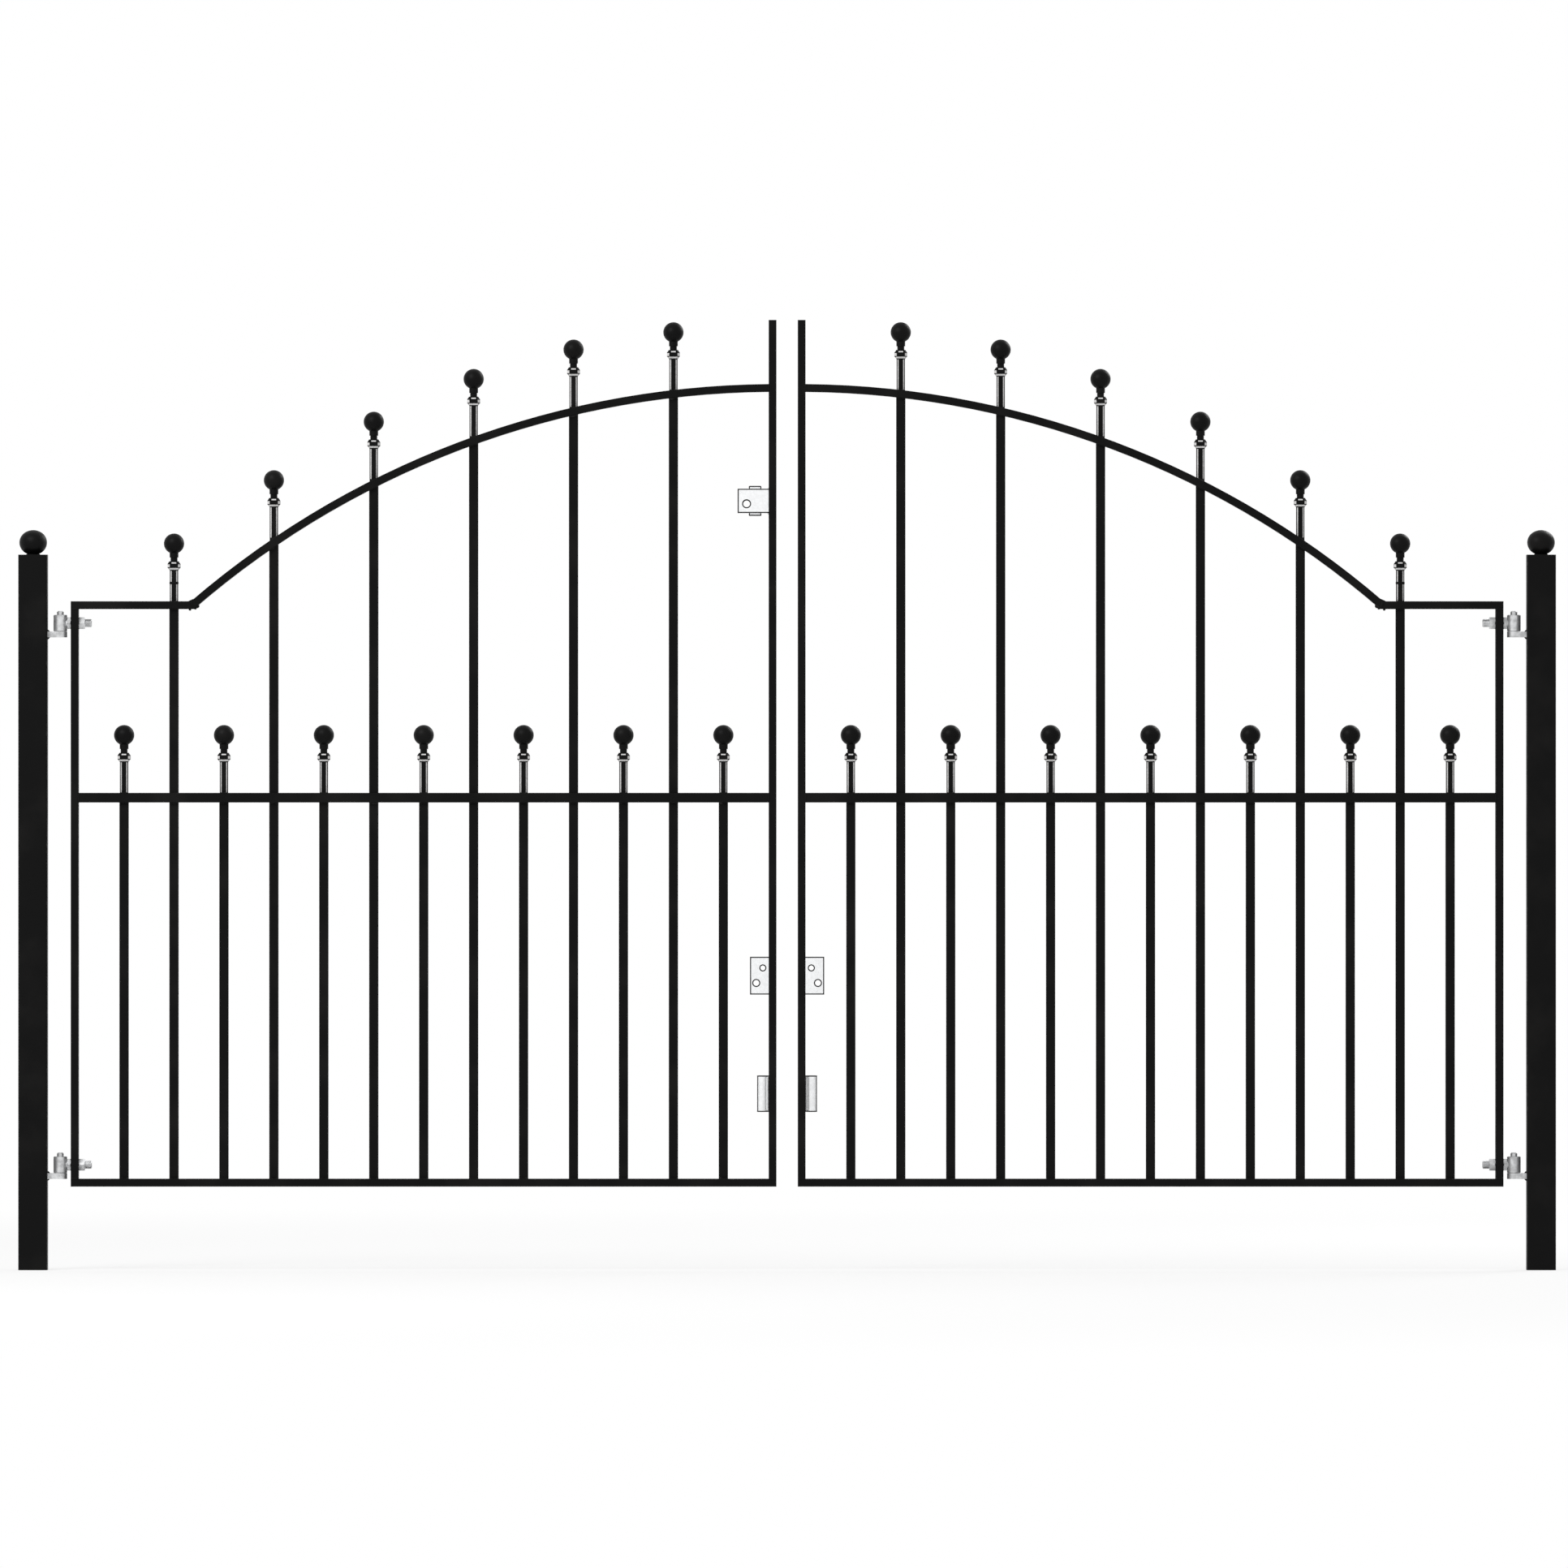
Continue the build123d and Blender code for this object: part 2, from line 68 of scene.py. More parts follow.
class Shade:
    """One output of a material's nodes. Python's arithmetic on it adds Math nodes."""

    def __init__(self, tree, socket=None):
        self.tree = tree
        self.socket = socket

    def node(self, kind, settings=None, sockets=None, out=0):
        """Any other node: its settings first, then the values or links of its sockets."""
        made = self.tree.nodes.new("ShaderNode" + kind)
        for name, value in (settings or {}).items():
            setattr(made, name, value)
        for name, value in (sockets or {}).items():
            if isinstance(value, Shade):
                self.tree.links.new(value.socket, made.inputs[name])
            else:
                made.inputs[name].default_value = value
        return Shade(self.tree, made.outputs[out])

    def math(self, operation, *values):
        return self.node("Math", {"operation": operation}, dict(enumerate(values)))

    def __add__(self, other):
        return self.math("ADD", self, other)

    def __sub__(self, other):
        return self.math("SUBTRACT", self, other)

    def __rsub__(self, other):
        return self.math("SUBTRACT", other, self)

    def __mul__(self, other):
        return self.math("MULTIPLY", self, other)

    def __truediv__(self, other):
        return self.math("DIVIDE", self, other)

    def __abs__(self):
        return self.math("ABSOLUTE", self)

    __radd__ = __add__
    __rmul__ = __mul__

    def fade(self, low, high):
        """0 below low, 1 above high and a smooth step between them; low may be above high."""
        start, end, low_out = (low, high, 0.0) if low < high else (high, low, 1.0)
        return self.node(
            "MapRange",
            {"interpolation_type": "SMOOTHSTEP"},
            {
                "Value": self,
                "From Min": start,
                "From Max": end,
                "To Min": low_out,
                "To Max": 1.0 - low_out,
            },
        )

    def parts(self):
        """The x, y and z of a vector."""
        split = self.node("SeparateXYZ", {}, {0: self}).socket.node
        return [Shade(self.tree, split.outputs[n]) for n in range(3)]

    def noise(self, scale, detail=2.0, roughness=0.5):
        """Noise from 0 to 1 over this vector."""
        return self.node(
            "TexNoise", {}, {"Vector": self, "Scale": scale, "Detail": detail, "Roughness": roughness}
        )

    def blend(self, low_colour, high_colour):
        """The first colour where this is 0, the second where it is 1."""
        return self.node(
            "Mix", {"data_type": "RGBA"}, {0: self, 6: low_colour, 7: high_colour}, out=2
        )

    def relief(self, height, strength=1.0, under=None):
        """A normal that is raised by this height in metres, over another normal if one is given."""
        sockets = {"Height": self, "Distance": height, "Strength": strength}
        if under:
            sockets["Normal"] = under
        return self.node("Bump", {}, sockets)


def new_material(name):
    """An empty node material, its shader and its object coordinates in metres."""
    material = bpy.data.materials.new(name)
    material.use_nodes = True
    tree = material.node_tree
    return material, tree.nodes["Principled BSDF"], Shade(tree).node("TexCoord", out=3)


def feed(shader, **sockets):
    """Sets or links the shader's sockets; an underscore in a name stands for a space."""
    for name, value in sockets.items():
        socket = shader.inputs[name.replace("_", " ")]
        if isinstance(value, Shade):
            value.tree.links.new(value.socket, socket)
        else:
            socket.default_value = value


def grey(level, warmth=0.0):
    """A linear grey with alpha, a little warmer or cooler."""
    return (level * (1 + warmth), level, level * (1 - warmth), 1.0)


black_paint = grey(0.0022)
black_paint_thin = grey(0.0060, 0.05)
black_paint_worn = grey(0.026, 0.04)
black_gloss = 0.085


def thin_patches(place, scale, detail):
    """1 in the patches where black paint is thin, 0 elsewhere."""
    return place.noise(scale, detail).fade(0.45, 0.75)


def satin_black(name, wave_size, wave_height):
    """Satin black paint over bar or tube: waves of that size in the steel, orange peel in the paint."""
    material, shader, place = new_material(name)
    # A normal points along an axis on a flat face, and between two axes on a rounded corner
    along_y = abs(place.node("TexCoord", out=1).parts()[1])
    corner = (along_y * (1 - along_y) * 4).fade(0.35, 0.85)
    patches = thin_patches(place, scale=9.0, detail=3.0)
    rubbed = corner * place.noise(scale=45.0, detail=6.0, roughness=0.7).fade(0.54, 0.68)
    colour = patches.blend(black_paint, black_paint_thin)
    colour = rubbed.blend(colour, black_paint_worn)
    waves = place.noise(scale=1.0 / wave_size, detail=1.0).relief(wave_height, strength=0.8)
    peel = place.noise(scale=650.0, detail=2.0).relief(height=0.00018, strength=0.7, under=waves)
    feed(
        shader,
        Base_Color=colour,
        Roughness=0.42 + 0.14 * patches - 0.12 * rubbed,
        Specular_IOR_Level=black_gloss,
        Normal=peel,
    )
    return material


def wear(material, *nodes):
    """Gives these pieces of the frame their finish."""
    for node in nodes:
        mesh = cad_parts[node].data
        mesh.materials.clear()
        mesh.materials.append(material)


post_paint = satin_black("post_paint", wave_size=0.10, wave_height=0.0006)
for side in ("left", "right"):
    wear(post_paint, f"{side}_post", f"{side}_post_base", f"{side}_post_cap")

# Rails and stiles: 16 mm flat bar, hot rolled, with the mill's slow waves still in its faces.
# The stiles stand on the bottom rail, and the arch is rolled edgewise from the same bar.
# Where two bars meet, a short run of weld crosses the joint on both faces of the leaf.
flat_bar_paint = satin_black("flat_bar_paint", wave_size=0.045, wave_height=0.0005)
for side in ("left", "right"):
    wear(
        flat_bar_paint,
        f"{side}_bottom_rail",
        f"{side}_middle_rail",
        f"{side}_shoulder_rail",
        f"{side}_arch_rail",
        f"{side}_hanging_stile",
        f"{side}_meeting_stile",
    )

bottom_rail_low, bottom_rail_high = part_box("left_bottom_rail")
gate_span = bottom_rail_low.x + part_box("right_bottom_rail")[1].x
hinge_edge = bottom_rail_low.x
meeting_edge = bottom_rail_high.x
rail_face = bottom_rail_high.y
flat_thickness = bottom_rail_high.z - bottom_rail_low.z
inner_start = hinge_edge + flat_thickness
inner_end = meeting_edge - flat_thickness
bottom_rail_top = bottom_rail_high.z
middle_rail_bottom, middle_rail_top = (corner.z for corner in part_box("left_middle_rail"))
shoulder_bottom, shoulder_top = (corner.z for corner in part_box("left_shoulder_rail"))

# The arch is struck from under the meeting edge, with this radius to its middle line
arch_radius = 1.843
arch_top_radius = arch_radius + flat_thickness / 2
arch_underside_radius = arch_radius - flat_thickness / 2
arch_reach = meeting_edge - inner_end
arch_centre_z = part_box("left_arch_rail")[1].z - math.sqrt(arch_top_radius**2 - arch_reach**2)
shoulder_centre = (shoulder_bottom + shoulder_top) / 2
crank_x = meeting_edge - math.sqrt(arch_radius**2 - (shoulder_centre - arch_centre_z) ** 2)
crank_angle = math.asin((meeting_edge - crank_x) / arch_radius)
mitre_shift = flat_thickness / 2 * math.tan(crank_angle / 2)


def arch_height(x, radius):
    """How high the arch's top or underside is over a point along the left leaf."""
    return arch_centre_z + math.sqrt(radius**2 - (meeting_edge - x) ** 2)


ripple_pitch = 0.0022
rings_per_ripple = 4
fewest_ripples = 3
ripple_depth = 0.13
ripple_mean = 0.64
ripple_bow = 0.5
bead_end_length = 0.0022
bead_end_size = 0.3
bead_size_spread = 0.07
hand = random.Random(4)


def arc_section(sweep, steps, fullness, root):
    """A weld's section, as shares of its two legs: a rounded face over a root inside the joint."""
    section = []
    for n in range(steps + 1):
        turn = sweep * n / steps
        size = 1 - (1 - fullness) * abs(math.sin(2 * turn))
        section.append((size * math.cos(turn), size * math.sin(turn)))
    return section + [root]


fillet_weld = arc_section(math.pi / 2, 6, 0.82, (-0.12, -0.12))
face_weld = arc_section(math.pi, 7, 1.0, (0.0, -0.4))


def straight(start, end, across, out):
    """A straight path, its two leg directions and its length."""
    start, end, across, out = (Vector(value) for value in (start, end, across, out))
    along = (end - start).normalized()
    return (lambda s: (start + along * s, across, out)), (end - start).length


def bead(form, path, length, section, closed=False, ripple=ripple_depth):
    """Adds a run of weld to a mesh: its section follows the path and swells at every ripple."""
    count = max(fewest_ripples, round(length / ripple_pitch)) * rings_per_ripple
    start_phase = hand.random()
    size = hand.uniform(1 - bead_size_spread, 1 + bead_size_spread)
    rings = []
    for n in range(count if closed else count + 1):
        s = length * n / count
        centre, across, out = path(s)
        to_end = 1.0 if closed else max(0.0, min(s, length - s, bead_end_length) / bead_end_length)
        end_size = math.sqrt(1 - (1 - to_end) ** 2)
        ring = []
        for u, v in section:
            phase = start_phase + n / rings_per_ripple + ripple_bow * u * v
            swell = 1 + ripple * (abs(math.sin(math.pi * phase)) - ripple_mean)
            swell *= size * (bead_end_size + (1 - bead_end_size) * end_size)
            ring.append(form.verts.new(centre + across * (u * swell) + out * (v * swell)))
        rings.append(ring)
    for back, front in zip(rings, rings[1:] + rings[:1] if closed else rings[1:]):
        for i in range(len(section)):
            form.faces.new((back[i - 1], back[i], front[i], front[i - 1]))
    if not closed:
        form.faces.new(rings[0])
        form.faces.new(rings[-1])


def made_piece(name, side, body, material, form):
    """Makes a piece of a form drawn on the left side, which is mirrored for the right side."""
    if side == "right":
        for point in form.verts:
            point.co.x = gate_span - point.co.x
    bmesh.ops.recalc_face_normals(form, faces=form.faces)
    for face in form.faces:
        face.smooth = True
    mesh = bpy.data.meshes.new(name)
    form.to_mesh(mesh)
    form.free()
    mesh.materials.append(material)
    piece = bpy.data.objects.new(name, mesh)
    bpy.context.scene.collection.objects.link(piece)
    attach(piece, body)


seam_half_width = 0.0024
seam_height = 0.0009
seam_end_inset = 0.0012


def face_seam(form, start, end):
    """Welds across a joint on the leaf's front and back, from one place to another in its plane."""
    start, end = Vector((start[0], 0, start[1])), Vector((end[0], 0, end[1]))
    along = (end - start).normalized()
    across = Vector((along.z, 0, -along.x)) * seam_half_width
    for face in (-1, 1):
        level = Vector((0, face * rail_face, 0))
        run = straight(
            start + along * seam_end_inset + level,
            end - along * seam_end_inset + level,
            across,
            (0, face * seam_height, 0),
        )
        bead(form, *run, face_weld)


for side in ("left", "right"):
    frame_welds = bmesh.new()
    face_seam(frame_welds, (hinge_edge, bottom_rail_top), (inner_start, bottom_rail_top))
    face_seam(frame_welds, (inner_end, bottom_rail_top), (meeting_edge, bottom_rail_top))
    face_seam(frame_welds, (hinge_edge, shoulder_bottom), (inner_start, shoulder_bottom))
    face_seam(frame_welds, (inner_start, middle_rail_bottom), (inner_start, middle_rail_top))
    face_seam(frame_welds, (inner_end, middle_rail_bottom), (inner_end, middle_rail_top))
    face_seam(
        frame_welds,
        (inner_end, arch_height(inner_end, arch_underside_radius)),
        (inner_end, arch_height(inner_end, arch_top_radius)),
    )
    made_piece(
        f"{side}_frame_welds", side, f"{side}_leaf", flat_bar_paint, frame_welds
    )

# Crank: where the level shoulder turns up into the arch, the mitred joint is built up with weld
# and left undressed. One run fills the corner above, two hang under it, and a tack sits beside them.
# The two corners of the mitre give the places, and the rest is measured from the drawing.
round_weld = [(math.cos(math.pi * n / 6), math.sin(math.pi * n / 6)) for n in range(12)]
crank_top = (crank_x - mitre_shift, shoulder_top)
crank_under = (crank_x + mitre_shift, shoulder_bottom)
knuckle_end_inset = 0.0022
knuckle_reach = rail_face - knuckle_end_inset
top_run_legs = (0.0052, 0.0075)
# Each run under the crank: its place across and up the leaf, and its radius
hanging_runs = (
    (crank_under[0] + 0.0066, crank_under[1] + 0.0062, 0.0043),
    (crank_under[0] + 0.0028, crank_under[1] + 0.0016, 0.0027),
    (crank_under[0] - 0.0082, crank_under[1] - 0.0010, 0.0024),
)

for side in ("left", "right"):
    knuckle = bmesh.new()
    crank_run = straight(
        (crank_top[0], -knuckle_reach, crank_top[1]),
        (crank_top[0], knuckle_reach, crank_top[1]),
        (-top_run_legs[0], 0, 0),
        (top_run_legs[1] * math.cos(crank_angle), 0, top_run_legs[1] * math.sin(crank_angle)),
    )
    bead(knuckle, *crank_run, fillet_weld)
    for x, z, radius in hanging_runs:
        run = straight((x, -knuckle_reach, z), (x, knuckle_reach, z), (radius, 0, 0), (0, 0, radius))
        bead(knuckle, *run, round_weld)
    face_seam(knuckle, crank_under, crank_top)
    made_piece(
        f"{side}_crank_weld", side, f"{side}_leaf", flat_bar_paint, knuckle
    )

# Bars: 19 mm square solid bar with the soft edges of hot rolling.
# They are punched through the middle and top rails and stand on the bottom rail. Each is welded
# front and back: to the bottom rail round its foot, and under each rail that it passes through.
bar_paint = satin_black("bar_paint", wave_size=0.03, wave_height=0.0006)
for side in ("left", "right"):
    wear(bar_paint, f"{side}_long_bars", f"{side}_short_bars")

bar_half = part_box("left_short_bars")[1].y
bar_count = 13
bar_pitch = (inner_end - inner_start + 2 * bar_half) / (bar_count + 1)
bar_places = [inner_start - bar_half + bar_pitch * (n + 1) for n in range(bar_count)]
short_bar_places = bar_places[0::2]
long_bar_places = bar_places[1::2]
bar_weld_leg = 0.0038
bar_weld_end_inset = 0.0018
bar_weld_half = bar_half - bar_weld_end_inset


def corner_welds(form, x, half, out_from, heights, leg, up):
    """Fillets in front of and behind an upright at x, in the corner that it makes with a rail."""
    for face in (-1, 1):
        run = straight(
            (x - half, face * out_from, heights[0]),
            (x + half, face * out_from, heights[1]),
            (0, face * leg, 0),
            (0, 0, up * leg),
        )
        bead(form, *run, fillet_weld)


for side in ("left", "right"):
    bar_welds = bmesh.new()
    for x in bar_places:
        for height, up in ((bottom_rail_top, 1), (middle_rail_bottom, -1)):
            corner_welds(bar_welds, x, bar_weld_half, bar_half, (height, height), bar_weld_leg, up)
    for x in long_bar_places:
        heights = [
            max(shoulder_bottom, arch_height(x + reach, arch_underside_radius))
            for reach in (-bar_weld_half, bar_weld_half)
        ]
        corner_welds(bar_welds, x, bar_weld_half, bar_half, heights, bar_weld_leg, -1)
    made_piece(f"{side}_bar_welds", side, f"{side}_leaf", bar_paint, bar_welds)

# Finials: cast steel, one on every bar, with a sand-cast skin under the black paint.
# The shank's chamfers and the collar's bevels carry painted highlights, in silver.
# Colours of the painted highlights: a bright silver and a duller one.
painted_highlight_silver = grey(0.72)
painted_highlight_silver_dull = grey(0.55, 0.02)

# Where the painted highlights lie: heights are over the finial's foot, and the rest is off the middle of
# a face.
# Only the outer edge of a shank's strip is measured across from the bar's middle.
# A painted highlight is softer at its ends.
shank_strip_heights = (0.0010, 0.0630)
shank_strip_inner_edge = 0.00475
shank_strip_outer_edge = 0.00685
collar_cheek_heights = (0.0702, 0.0760)
collar_cheek_edges = (0.00865, 0.01135)
lower_bevel_heights = (0.06515, 0.06865)
lower_bevel_half = 0.00955
upper_bevel_heights = (0.07775, 0.08045)
upper_bevel_half = 0.00475
highlight_edge_blur = 0.00015
highlight_end_blur = 0.0002

parting_line_half = 0.0004
parting_line_height = 0.0002


def on_side(side, x):
    """A place along the left leaf, or its mirror place on the right leaf."""
    return x if side == "left" else gate_span - x


def beyond(place, edge, blur=highlight_edge_blur):
    """1 where a place is past an edge of a painted highlight, 0 short of it."""
    return place.fade(edge - blur, edge + blur)


def short_of(place, edge, blur=highlight_edge_blur):
    """1 where a place is short of an edge of a painted highlight, 0 past it."""
    return place.fade(edge + blur, edge - blur)


def between(place, edges, blur=highlight_edge_blur):
    """1 where a place is past the first edge of a painted highlight and short of the second."""
    return beyond(place, edges[0], blur) * short_of(place, edges[1], blur)


def cast_normal(place, skin, skin_height, line_foot):
    """The normal of a sand-cast skin, with the mould's parting line raised round its middle."""
    parting_line = abs(place.parts()[1]).fade(line_foot, parting_line_half)
    sand_marks = skin.relief(skin_height, strength=0.7)
    return parting_line.relief(parting_line_height, strength=0.6, under=sand_marks)


def finial_paint(name, first_bar, seat_height):
    """Black over a cast skin, with painted highlights in silver on the chamfers and bevels, found from
    each bar's own centre.
    """
    material, shader, place = new_material(name)
    x, y, z = place.parts()
    step = 2 * bar_pitch
    bar_x = ((x - first_bar) / step).math("ROUND", (x - first_bar) / step) * step + first_bar
    across = abs(x - bar_x)
    height = z - seat_height(bar_x)
    off_middle = across.math("MINIMUM", across, abs(y))

    # These masks lay painted highlights on the shank's chamfers, the collar's cheeks and its two bevels.
    highlight_strips = between(height, shank_strip_heights, highlight_end_blur)
    highlight_strips = highlight_strips * beyond(off_middle, shank_strip_inner_edge)
    highlight_strips = highlight_strips * short_of(across, shank_strip_outer_edge)
    highlight_cheeks = between(height, collar_cheek_heights, highlight_end_blur)
    highlight_cheeks = highlight_cheeks * between(off_middle, collar_cheek_edges)
    lower_bevel = between(height, lower_bevel_heights) * short_of(off_middle, lower_bevel_half)
    upper_bevel = between(height, upper_bevel_heights) * short_of(off_middle, upper_bevel_half)
    painted_highlights = highlight_strips + highlight_cheeks + lower_bevel + upper_bevel

    highlight_tone = place.noise(scale=320.0, detail=3.0)
    skin = place.noise(scale=900.0, detail=3.0, roughness=0.6)
    black = thin_patches(place, scale=12.0, detail=2.0).blend(black_paint, black_paint_thin)
    # Silver for the painted highlights, bright or dull by noise.
    silver = highlight_tone.fade(0.3, 0.7).blend(painted_highlight_silver, painted_highlight_silver_dull)
    feed(
        shader,
        Base_Color=painted_highlights.blend(black, silver),
        Roughness=0.40 + 0.12 * skin,
        Specular_IOR_Level=black_gloss,
        Normal=cast_normal(place, skin, skin_height=0.0003, line_foot=0.0008),
    )
    return material


def arch_seat(side):
    """The height of the top rail over a bar, as shader maths."""
    edge = on_side(side, meeting_edge)

    def seat(bar_x):
        reach = bar_x - edge
        rise = arch_top_radius**2 - reach * reach
        return rise.math("MAXIMUM", rise.math("SQRT", rise) + arch_centre_z, shoulder_top)

    return seat


for side in ("left", "right"):
    wear(
        finial_paint(f"{side}_long_finial_paint", on_side(side, long_bar_places[0]), arch_seat(side)),
        f"{side}_long_bar_finials",
    )
    wear(
        finial_paint(
            f"{side}_short_finial_paint",
            on_side(side, short_bar_places[0]),
            lambda bar_x: middle_rail_top,
        ),
        f"{side}_short_bar_finials",
    )

shank_size = 0.0172
shank_chamfer = 0.0041
shank_flat_half = shank_size / 2 - shank_chamfer
finial_weld_leg = 0.0028
shank_band_height = 0.0377
shank_band_half = 0.0026
shank_band_depth = 0.0007


def round_loop(corners, centre, across, depth):
    """A closed path round an upright's outline, its leg directions and its length."""
    corners = [Vector(corner) for corner in corners]
    sides = [(back, front - back) for back, front in zip(corners, corners[1:] + corners[:1])]
    length = sum(step.length for back, step in sides)

    def path(s):
        left = s % length
        for back, step in sides:
            if left <= step.length:
                break
            left -= step.length
        out = Vector((step.y, -step.x, 0)).normalized() * depth
        return centre + back + step.normalized() * left, across, out

    return path, length


shank_outline = [
    (turn_x * near, turn_y * far, 0)
    for turn_x, turn_y, near, far in (
        (1, -1, shank_size / 2, shank_flat_half),
        (1, 1, shank_size / 2, shank_flat_half),
        (1, 1, shank_flat_half, shank_size / 2),
        (-1, 1, shank_flat_half, shank_size / 2),
        (-1, 1, shank_size / 2, shank_flat_half),
        (-1, -1, shank_size / 2, shank_flat_half),
        (-1, -1, shank_flat_half, shank_size / 2),
        (1, -1, shank_flat_half, shank_size / 2),
    )
]

for side in ("left", "right"):
    finial_welds = bmesh.new()
    for x in short_bar_places:
        heights = (middle_rail_top, middle_rail_top)
        corner_welds(finial_welds, x, shank_flat_half, shank_size / 2, heights, finial_weld_leg, 1)
    for x in long_bar_places:
        heights = [
            max(shoulder_top, arch_height(x + reach, arch_top_radius))
            for reach in (-shank_flat_half, shank_flat_half)
        ]
        corner_welds(finial_welds, x, shank_flat_half, shank_size / 2, heights, finial_weld_leg, 1)
    band_centre = Vector((long_bar_places[0], 0, shoulder_top + shank_band_height))
    band = round_loop(shank_outline, band_centre, Vector((0, 0, shank_band_half)), shank_band_depth)
    bead(finial_welds, *band, face_weld, closed=True)
    made_piece(
        f"{side}_finial_welds", side, f"{side}_leaf", bar_paint, finial_welds
    )

# Post balls: cast steel, a little flattened, each on a short neck that is welded to the cap plate.
# They have the finials' black paint over a coarser sand-cast skin.
ball_material, ball_shader, ball_place = new_material("post_ball_paint")
ball_skin = ball_place.noise(scale=700.0, detail=3.0, roughness=0.6)
ball_patches = thin_patches(ball_place, scale=14.0, detail=2.0)
feed(
    ball_shader,
    Base_Color=ball_patches.blend(black_paint, black_paint_thin),
    Roughness=0.38 + 0.14 * ball_skin,
    Specular_IOR_Level=black_gloss,
    Normal=cast_normal(ball_place, ball_skin, skin_height=0.0004, line_foot=0.0009),
)
wear(ball_material, "left_post_ball", "right_post_ball")

post_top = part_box("left_post_cap")[1].z
ball_neck_radius = 0.012
ball_weld_leg = 0.0026
for side in ("left", "right"):
    ball_weld = bmesh.new()

    def round_neck(s):
        turn = s / ball_neck_radius
        radial = Vector((math.cos(turn), math.sin(turn), 0))
        centre = radial * ball_neck_radius + Vector((0, 0, post_top))
        return centre, radial * ball_weld_leg, Vector((0, 0, ball_weld_leg))

    bead(ball_weld, round_neck, 2 * math.pi * ball_neck_radius, fillet_weld, closed=True)
    made_piece(f"{side}_ball_weld", side, "posts", ball_material, ball_weld)

# Zinc fittings: lock box, latch plates and drop bolt guides are pale zinc plate, welded on.
# Their edges and the rims of their holes carry painted shade, as black outlines.
zinc_light = grey(0.95, -0.01)
zinc_dark = grey(0.85, -0.01)
# Width and blur of the painted shade that outlines the fittings.
outline_width = 0.0024
outline_blur = 0.0003
tube_unshaded_half = 0.0032


def box_edges(x, y, z, box, sides):
    """How far a place on a box's surface is from its nearest edge; a side not named has no edges."""
    low, high = box
    to_left = x - low.x if "left" in sides else high.x - x
    to_right = high.x - x if "right" in sides else to_left
    to_side = x.math("MINIMUM", to_left, to_right)
    to_front = y.math("MINIMUM", y - low.y, high.y - y)
    to_end = z.math("MINIMUM", z - low.z, high.z - z)
    nearer = x.math("MINIMUM", to_side, to_front)
    farther = x.math("MAXIMUM", to_side, to_front)
    return x.math("MAXIMUM", nearer, x.math("MINIMUM", farther, to_end))


def tube_edges(x, y, z, box, sides):
    """How far a place on an upright tube is from its ends, or from its outline as the front shows it."""
    low, high = box
    to_side = x - low.x if sides[0] == "left" else high.x - x
    # The painted shade reaches the tube's sides only where they form its outline from the front.
    to_outline = x.math("MAXIMUM", to_side, tube_unshaded_half + outline_width - abs(y))
    to_end = z.math("MINIMUM", z - low.z, high.z - z)
    return x.math("MINIMUM", to_outline, to_end)


def zinc(name, edges, box, sides, holes=()):
    """Pale zinc with spangle, with painted shade in black along the edges and round any holes."""
    material, shader, place = new_material(name)
    x, y, z = place.parts()
    edge = edges(x, y, z, box, sides)
    for hole_x, hole_z, hole_radius in holes:
        far_x = x - hole_x
        far_z = z - hole_z
        reach = far_x * far_x + far_z * far_z
        edge = edge.math("MINIMUM", edge, reach.math("SQRT", reach) - hole_radius)
    # Painted shade: black along the edges and round the holes, as dark outlines.
    painted_edge_shade = edge.fade(outline_width + outline_blur, outline_width - outline_blur)
    spangle = place.node("TexVoronoi", {}, {"Vector": place, "Scale": 160.0}, out=0)
    cloud = place.noise(scale=60.0, detail=3.0)
    tone = (0.6 * spangle + 0.5 * cloud).fade(0.25, 0.85)
    colour = tone.blend(zinc_light, zinc_dark)
    grain = place.noise(scale=1200.0, detail=2.0)
    feed(
        shader,
        Base_Color=painted_edge_shade.blend(colour, black_paint),
        Metallic=0.35 * (1 - painted_edge_shade),
        Roughness=0.36 + 0.18 * tone,
        Specular_IOR_Level=0.15,
        Normal=grain.relief(height=0.00008, strength=0.5),
    )
    return material


# Each hole of a latch plate: how far it is from the stile and above the plate's foot, and its radius
latch_holes = ((0.012, 0.055, 0.005), (0.0256, 0.024, 0.006))
for side in ("left", "right"):
    plate_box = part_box(f"{side}_latch_plate")
    holes = [
        (on_side(side, inner_end - inset), plate_box[0].z + rise, radius)
        for inset, rise, radius in latch_holes
    ]
    wear(zinc(f"{side}_latch_zinc", box_edges, plate_box, [side], holes), f"{side}_latch_plate")
    guide_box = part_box(f"{side}_drop_bolt_guide")
    wear(zinc(f"{side}_guide_zinc", tube_edges, guide_box, [side]), f"{side}_drop_bolt_guide")

case_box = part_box("lock_box")
case_hole_inset = 0.0185
case_hole_rise = 0.019
case_hole_radius = 0.007
case_hole = (case_box[0].x + case_hole_inset, case_box[0].z + case_hole_rise, case_hole_radius)
wear(zinc("lock_box_zinc", box_edges, case_box, ["left"], [case_hole]), "lock_box")
wear(zinc("lock_tab_zinc", box_edges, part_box("lock_box_tabs"), ["left", "right"]), "lock_box_tabs")


def bare_zinc(name, light, dark, metallic):
    """Zinc plate with no painted shade on its edges, clouded from one tone to the other."""
    material, shader, place = new_material(name)
    cloud = place.noise(scale=90.0, detail=3.0)
    grain = place.noise(scale=1200.0, detail=2.0)
    feed(
        shader,
        Base_Color=cloud.fade(0.3, 0.7).blend(light, dark),
        Metallic=metallic,
        Roughness=0.30 + 0.20 * cloud,
        Normal=grain.relief(height=0.0001, strength=0.5),
    )
    return material


